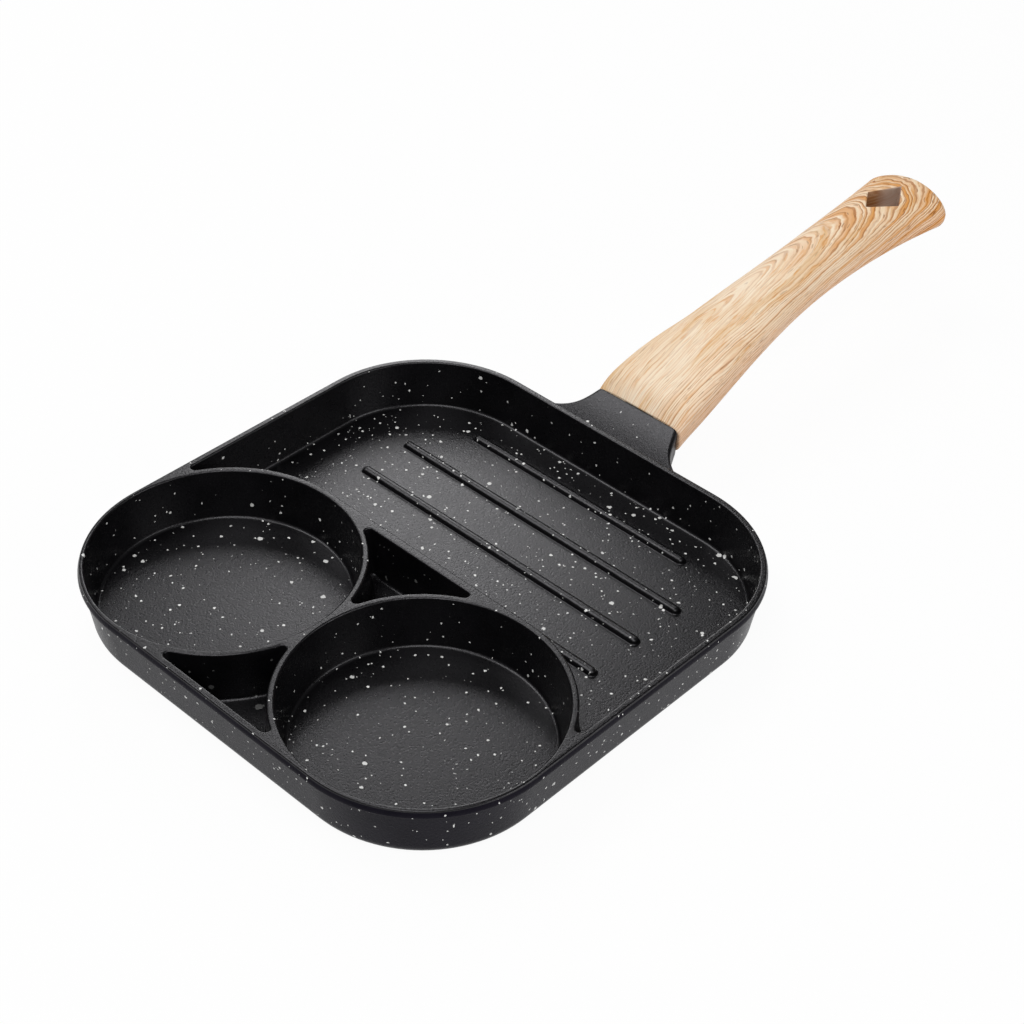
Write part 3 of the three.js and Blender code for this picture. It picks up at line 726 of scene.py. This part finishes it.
def handle_section(along):
    """Half width, half height, middle height and both squarenesses of the handle's section."""
    part = along / HANDLE_LENGTH
    line_z = sum(term * part ** power for power, term in enumerate(TOP_LINE))
    thickness = lerp(
        lerp(JOINT_THICKNESS, swell, part), lerp(swell, TAIL_THICKNESS, part), part)
    shoulder = max(0, 1 - along / SHOULDER_LENGTH) ** 2 * SHOULDER_HEIGHT
    if along < WAIST_AT:
        width = lerp(JOINT_WIDTH, WAIST_WIDTH, smoothstep(along / WAIST_AT))
    else:
        flare = min(1, (along - WAIST_AT) / (HANDLE_LENGTH - TAIL_ROUNDING - WAIST_AT))
        width = lerp(WAIST_WIDTH, TAIL_WIDTH, flare ** 2) * rounded_end(along, TAIL_ROUNDING)
    half_height = (thickness - shoulder) / 2 * max(rounded_end(along, TAIL_EDGE), TIP_SHARE) - SKIN
    soften = smoothstep(along / (WAIST_AT / 2))
    top_power = lerp(JOINT_TOP_SQUARENESS, GRIP_TOP_SQUARENESS, soften)
    bottom_power = lerp(JOINT_BOTTOM_SQUARENESS, GRIP_BOTTOM_SQUARENESS, soften)
    return width / 2, half_height, line_z - (thickness + shoulder) / 2, top_power, bottom_power


def handle_point(along, turn):
    half_width, half_height, middle, top_power, bottom_power = handle_section(along)
    rounding = FRONT_ROUNDING * (1 - math.sqrt(1 - max(0, 1 - along / FRONT_ROUNDING) ** 2))
    across, up = math.cos(turn), math.sin(turn)
    power = 2 / (top_power if up > 0 else bottom_power)
    return Vector((
        HANDLE_X + along,
        (half_width - rounding) * math.copysign(abs(across) ** power, across),
        middle + rounding / 2 + (half_height - rounding / 2) * math.copysign(abs(up) ** power, up),
    ))


shown_length = HANDLE_LENGTH - FIT_GAP
bpy.ops.object.select_all(action="DESELECT")
bpy.ops.mesh.primitive_grid_add(x_subdivisions=HANDLE_ROWS, y_subdivisions=HANDLE_COLUMNS, size=1)
handle = bpy.context.object
handle.name = handle.data.name = "wood_look_handle"
for vertex in handle.data.vertices:
    station = (1 - math.cos((vertex.co.x + 0.5) * math.pi)) / 2 * shown_length
    vertex.co = handle_point(station, (vertex.co.y + 0.5) * math.tau)
bpy.ops.object.mode_set(mode="EDIT")
bpy.ops.mesh.select_all(action="SELECT")
bpy.ops.mesh.remove_doubles(threshold=TOUCH)
closed(handle, HANDLE_X, HANDLE_X + shown_length, lengthwise)

# The hole's cutter is drawn flat, by depth under the skin, and its mouths are then laid on the skin.
HOLE_X, HOLE_END, HOLE_SIDE, HOLE_CORNER, HOLE_CORNER_STEPS = 250.7, 10.7, 6.4, 0.6, 10
HOLE_EDGE, EDGE_SHARES = 0.6, (0.04, 0.15, 0.35, 0.65, 1)
MOUTH_LEVEL, MOUTH_TOP, MOUTH_FLARE_END, MOUTH_OUTSET = 10, -5, -0.4, 0.96
hole_turn = math.atan2(HOLE_END, HOLE_SIDE)


def handle_skin(x, y, side):
    """Height of the handle's upper or lower skin at a place."""
    half_width, half_height, middle, top_power, bottom_power = handle_section(x - HANDLE_X)
    power = top_power if side > 0 else bottom_power
    return middle + side * half_height * (1 - (abs(y) / half_width) ** power) ** (1 / power)


def lozenge(outset):
    corners = (
        (HOLE_X + HOLE_END, 0, -hole_turn, hole_turn),
        (HOLE_X, HOLE_SIDE, hole_turn, math.pi - hole_turn),
        (HOLE_X - HOLE_END, 0, math.pi - hole_turn, math.pi + hole_turn),
        (HOLE_X, -HOLE_SIDE, math.pi + hole_turn, math.tau - hole_turn),
    )
    return [(x, y, HOLE_CORNER + outset, start, end, HOLE_CORNER_STEPS) for x, y, start, end in corners]


mouth = [(MOUTH_TOP, MOUTH_OUTSET), (MOUTH_FLARE_END, MOUTH_OUTSET)]
mouth += [
    (HOLE_EDGE * share, HOLE_EDGE * (1 - math.sqrt(1 - (1 - share) ** 2))) for share in EDGE_SHARES
]
hole_levels = [(-MOUTH_LEVEL + depth, outset) for depth, outset in mouth]
hole_levels += [(MOUTH_LEVEL - depth, outset) for depth, outset in reversed(mouth)]
hole = stack("hanging_hole", [(level, lozenge(outset)) for level, outset in hole_levels])
closed(hole, hole_levels[0][0], hole_levels[-1][0])
for vertex in hole.data.vertices:
    side = math.copysign(1, vertex.co.z)
    vertex.co.z += handle_skin(vertex.co.x, vertex.co.y, side) - side * MOUTH_LEVEL
combine(handle, hole, "DIFFERENCE")

# Underneath, the tang's socket is open to the neck, and the screw's hole ends in a round seat.
SOCKET_OPENING = -6
SEAT_Z, SEAT_RADIUS, SEAT_OPENING = -11.1, 4.9, -21.2
combine(handle, tang_bar(SOCKET_OPENING, TANG_LENGTH + FIT_GAP, FIT_GAP), "DIFFERENCE")
combine(handle, screw_bar(SHANK_RADIUS + FIT_GAP, SEAT_Z - OVERRUN, TANG_BOTTOM), "DIFFERENCE")
combine(handle, screw_bar(SEAT_RADIUS, SEAT_OPENING, SEAT_Z), "DIFFERENCE")

# The print: growth rings round a heart line close into arches towards the tail. Each ring has a soft
# orange late side and a thin dark line, over pale ground with tan patches and fine strokes.
ASH_PALE, ASH_HONEY, ASH_TAN = (0.95, 0.81, 0.63, 1), (0.94, 0.7, 0.45, 1), (0.76, 0.48, 0.23, 1)
ASH_ORANGE, ASH_RED = (0.72, 0.3, 0.055, 1), (0.82, 0.48, 0.32, 1)
ASH_LINE, ASH_DARK = (0.33, 0.095, 0.013, 1), (0.22, 0.065, 0.01, 1)
# The hole's colours: a dark brown painted as shade on its walls, and a grey towards its tail end.
HOLE_SHADE_BROWN, HOLE_GREY = (0.24, 0.09, 0.025, 1), (0.45, 0.34, 0.28, 1)
RING_SPACING, BAND_SPACING = 1.05, 4.8
HEART_Y, ARCH_RISE, ARCH_POWER, ARCH_TIP = 5.0, 27.0, 2.1, 0.6
CROWN_DEPTH, SIDE_SHARE = 3, 0.9
PRINT_BUMP = 0.00002
hole_face = HOLE_END * math.cos(hole_turn) + HOLE_CORNER


def ash_print():
    place = Tone.of_place("ash_grain_print")
    x, y, z = place.parts()
    part = (x - HANDLE_X) / HANDLE_LENGTH
    top_line = ((TOP_LINE[3] * part + TOP_LINE[2]) * part + TOP_LINE[1]) * part + TOP_LINE[0]
    below = (top_line - z - CROWN_DEPTH).larger(0.0) * SIDE_SHARE
    rightward = below - y
    tailward = part.ease(0.32, 0.98)
    figured = tailward.larger(rightward.ease(4.0, 13.0) * 0.5)
    left_glow = y.ease(5.0, 16.0) * (1 - part.ease(0.2, 0.5))

    drift = place.stretched(0.018, 0.05, 0.05).noise(1.0, 2.0) - 0.5
    wave = (place.stretched(0.06, 0.14, 0.14).noise(1.0, 2.0) - 0.5) * (0.3 + part.larger(0.0) * 0.7)
    ripple = (place.stretched(0.4, 0.5, 0.5).noise(1.0, 2.0) - 0.5) * part.ease(0.1, 0.7)
    from_heart = y - HEART_Y + drift * 8.0
    arch = ARCH_RISE * part.larger(0.0) ** ARCH_POWER
    distance = (from_heart * from_heart + arch * arch + ARCH_TIP) ** 0.5
    ring = distance + below + wave * 2.6 + drift * 5.0 + ripple * 0.4
    flow = place.node("ShaderNodeCombineXYZ", None, {"X": x, "Y": ring, "Z": y})

    uneven = flow.stretched(0.012, 0.24, 0.03).noise(1.0, 2.0)
    turn = ring / RING_SPACING + uneven * 3.2
    count = math.floor(turn)
    share = turn - count
    chance = count.node("ShaderNodeTexWhiteNoise", {"noise_dimensions": "1D"}, {"W": count})
    broken = flow.stretched(0.13, 0.6, 0.13).noise(1.0, 2.0).ease(0.36, 0.58)
    late = share.ease(0.1, 0.6) * (1 - share.ease(0.86, 1.0)) * (0.3 + 0.7 * chance)
    edge = share.ease(0.57, 0.7) * (1 - share.ease(0.84, 0.98))
    line = edge * (0.4 + 0.6 * chance) * (0.5 + 0.5 * broken)
    band_turn = ring / BAND_SPACING + uneven * 1.2
    band = (1 - abs(band_turn - math.floor(band_turn) - 0.5) * 2).ease(0.52, 0.95)
    fibre = flow.stretched(0.05, 2.6, 0.1).noise(1.0, 3.0).ease(0.36, 0.66)
    patch = flow.stretched(0.022, 0.24, 0.06).noise(1.0, 3.0).ease(0.5, 0.68)
    strokes = flow.stretched(0.13, 2.0, 0.13).noise(1.0, 2.0).ease(0.53, 0.64)
    dashes = flow.stretched(0.17, 2.2, 0.17).noise(1.0, 1.0).ease(0.64, 0.7)

    pale = (tailward * 0.45).mix(ASH_PALE, ASH_HONEY)
    ground = (fibre * (0.2 + 0.2 * left_glow) + patch * 0.6 + left_glow * 0.2).mix(pale, ASH_TAN)
    reddish = (rightward.ease(13.0, 24.0) * 0.45).mix(ground, ASH_RED)
    banded = (band * (0.08 + 0.8 * tailward)).mix(reddish, ASH_ORANGE)
    latewood = (late * (0.12 + 0.7 * figured)).mix(banded, ASH_ORANGE)
    stroked = (strokes * (0.34 + 0.3 * patch)).mix(latewood, ASH_ORANGE)
    lined = (line * (0.22 + 0.78 * figured)).mix(stroked, ASH_LINE)
    dashed = (dashes * (0.2 + 0.5 * figured)).mix(lined, ASH_DARK)

    # Painted shade: inside the hanging hole the walls are painted dark brown as shade, going over to grey
    # towards the hole's tail end.
    lengthways = x - HOLE_X
    from_middle = abs(lengthways) * math.cos(hole_turn) + abs(y) * math.sin(hole_turn)
    in_hole = 1 - from_middle.ease(hole_face + 0.05, hole_face + 0.35)
    shaded_brown = (0.84 + fibre * 0.16).mix(dashed, HOLE_SHADE_BROWN)
    hole_wall_paint = lengthways.ease(2.0, 8.0).mix(shaded_brown, HOLE_GREY)
    colour = (in_hole * 0.9).mix(dashed, hole_wall_paint)
    relief = fibre * 0.3 - line * 0.4
    return place.surface(colour, 0.52 + fibre * 0.1, (relief, PRINT_BUMP), Specular_IOR_Level=0.18)


finish_piece(handle, 35, ash_print())
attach(handle, "root")
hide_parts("handle")

# The handle's screw: a zinc-plated machine screw with a cross recess, driven from below into the tang.
# Its head's edge is rounded, and it bears on the washer.
HEAD_RADIUS, HEAD_TOP, HEAD_BOTTOM, HEAD_ROUNDING = 4.4, -12.8, -15.2, 0.9
HEAD_BEVEL, HEAD_STEP, TIP_BEVEL = 0.15, 0.02, 0.5
CROSS_LENGTH, CROSS_WIDTH, CROSS_DEPTH, CROSS_CORNER = 4.6, 1.1, 1.3, 0.2
ZINC_DARK, ZINC_LIGHT = (0.5, 0.51, 0.53, 1), (0.66, 0.66, 0.65, 1)
ZINC_BUMP = 0.00001
head_round = quarter_round(HEAD_ROUNDING, steps=5)
screw = stack("cross_head_screw", [
    *((HEAD_BOTTOM + up, screw_outline(HEAD_RADIUS - inward)) for inward, up in head_round),
    (HEAD_TOP - HEAD_BEVEL, screw_outline(HEAD_RADIUS)),
    (HEAD_TOP, screw_outline(HEAD_RADIUS - HEAD_BEVEL)),
    (HEAD_TOP + HEAD_STEP, screw_outline(SHANK_RADIUS)),
    (SHANK_TOP - TIP_BEVEL, screw_outline(SHANK_RADIUS)),
    (SHANK_TOP, screw_outline(SHANK_RADIUS - TIP_BEVEL)),
])
closed(screw, HEAD_BOTTOM, SHANK_TOP)
slot_bottom, slot_top = HEAD_BOTTOM - 1, HEAD_BOTTOM + CROSS_DEPTH
for slot_size in ((CROSS_LENGTH, CROSS_WIDTH), (CROSS_WIDTH, CROSS_LENGTH)):
    slot_arcs = shifted(rounded_square(*slot_size, CROSS_CORNER, 3), SCREW_AT)
    cross_slot = stack("cross_slot", [(slot_bottom, slot_arcs), (slot_top, slot_arcs)])
    combine(screw, closed(cross_slot, slot_bottom, slot_top), "DIFFERENCE")
on_slope(screw)


def zinc_plate():
    place = Tone.of_place("zinc_plated_steel")
    cloud = place.noise(0.9, 4.0)
    fine = place.noise(5.0, 2.0)
    colour = cloud.mix(ZINC_DARK, ZINC_LIGHT)
    return place.surface(colour, 0.26 + cloud * 0.16, (fine, ZINC_BUMP), Metallic=1.0)


zinc = zinc_plate()
finish_piece(screw, 30, zinc)
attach(screw, "root")
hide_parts("handle_screw")

# The screw's spring washer: a split ring of the same zinc-plated steel, between the head and its seat.
# Its outline runs out round the rim and back round the bore, and is raised to the ring's thickness.
WASHER_BORE, WASHER_RADIUS, WASHER_STEPS = 2.7, 4.6, 60
WASHER_TOP, WASHER_BOTTOM, WASHER_SPLIT = -11.4, -12.5, 0.8
bore_gap = WASHER_SPLIT / 2 / WASHER_BORE
rim_gap = bore_gap * 0.6
washer_outline = [
    (SCREW_AT, 0, WASHER_RADIUS, rim_gap, math.tau - rim_gap, WASHER_STEPS),
    (SCREW_AT, 0, WASHER_BORE, math.tau - bore_gap, bore_gap, WASHER_STEPS),
]
washer = stack("spring_washer", [(WASHER_BOTTOM, washer_outline), (WASHER_TOP, washer_outline)])
closed(washer, WASHER_BOTTOM, WASHER_TOP)
on_slope(washer)
finish_piece(washer, 30, zinc)
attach(washer, "root")
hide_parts("screw_washer")

# The studio: a plain white floor that keeps a soft shadow, four soft lamps, of which the one behind the
# pan lays its sheen on the floors and rims, and the camera at the photograph's place.
FLOOR_SIZE, FLOOR_DROP, FLOOR_GREY = 80, 0.0002, 0.85
SEEN_SHARE, AIR_STRENGTH = 0.95, 0.09
bpy.ops.object.select_all(action="DESELECT")
bpy.ops.mesh.primitive_plane_add(size=FLOOR_SIZE, location=(0, 0, -FLOOR_DROP))
floor = bpy.context.object
floor.name = "studio_floor"
floor_paint, paint = Tone.of_material("studio_white")
white = paint.node("ShaderNodeBsdfDiffuse", None, {"Color": (FLOOR_GREY, FLOOR_GREY, FLOOR_GREY, 1)})
glow = paint.node("ShaderNodeEmission", None, {"Color": (1, 1, 1, 1), "Strength": 1.0})
ray = paint.node("ShaderNodeLightPath", output="Is Camera Ray")
seen = ray.larger(ray.output("Is Glossy Ray")).larger(ray.output("Is Transmission Ray"))
floor_mix = paint.node("ShaderNodeMixShader", None, {0: seen * SEEN_SHARE, 1: white, 2: glow})
paint.node("ShaderNodeOutputMaterial", None, {"Surface": floor_mix})
floor.data.materials.append(floor_paint)

world = bpy.data.worlds.new("studio_air")
bpy.context.scene.world = world
world.use_nodes = True
air = world.node_tree.nodes["Background"].inputs
air["Color"].default_value = (1, 1, 1, 1)
air["Strength"].default_value = AIR_STRENGTH


def lamp(name, place, aim, size, watts):
    bpy.ops.object.light_add(type="AREA", location=place)
    light = bpy.context.object
    light.name = name
    light.data.shape = "RECTANGLE"
    light.data.size, light.data.size_y = size
    light.data.energy = watts
    light.rotation_euler = (Vector(aim) - Vector(place)).to_track_quat("-Z", "Y").to_euler()


PAN_MIDDLE = (0.02, 0, 0.02)
lamp("back_soft_box", (0.915, 0.95, 0.75), PAN_MIDDLE, (0.4, 0.92), watts=5.8)
lamp("top_soft_box", (-0.13, 0.61, 1.13), (0.1, 0, 0.03), (0.7, 0.7), watts=6.8)
lamp("front_fill", (-0.7, -0.5, 1.3), PAN_MIDDLE, (1.0, 1.0), watts=12.6)
lamp("side_fill", (0.35, -1.2, 0.4), (0.18, 0, 0.04), (0.8, 0.5), watts=5.0)

CAMERA_PLACE = (-0.35957, -0.35516, 0.45329)
CAMERA_BACK = Vector((-0.5806, -0.5142, 0.6313)).normalized()
CAMERA_ROLL = math.radians(2.598)
CAMERA_LENS, CAMERA_SENSOR = 71.29, 36
level_right = Vector((0, 0, 1)).cross(CAMERA_BACK).normalized()
level_up = CAMERA_BACK.cross(level_right)
right = level_right * math.cos(CAMERA_ROLL) + level_up * math.sin(CAMERA_ROLL)
up = CAMERA_BACK.cross(right)
bpy.ops.object.camera_add(location=CAMERA_PLACE)
camera = bpy.context.object
camera.rotation_euler = Matrix((right, up, CAMERA_BACK)).transposed().to_euler()
camera.data.lens = CAMERA_LENS
camera.data.sensor_width = CAMERA_SENSOR
bpy.context.scene.camera = camera
bpy.context.scene.view_settings.view_transform = "Standard"
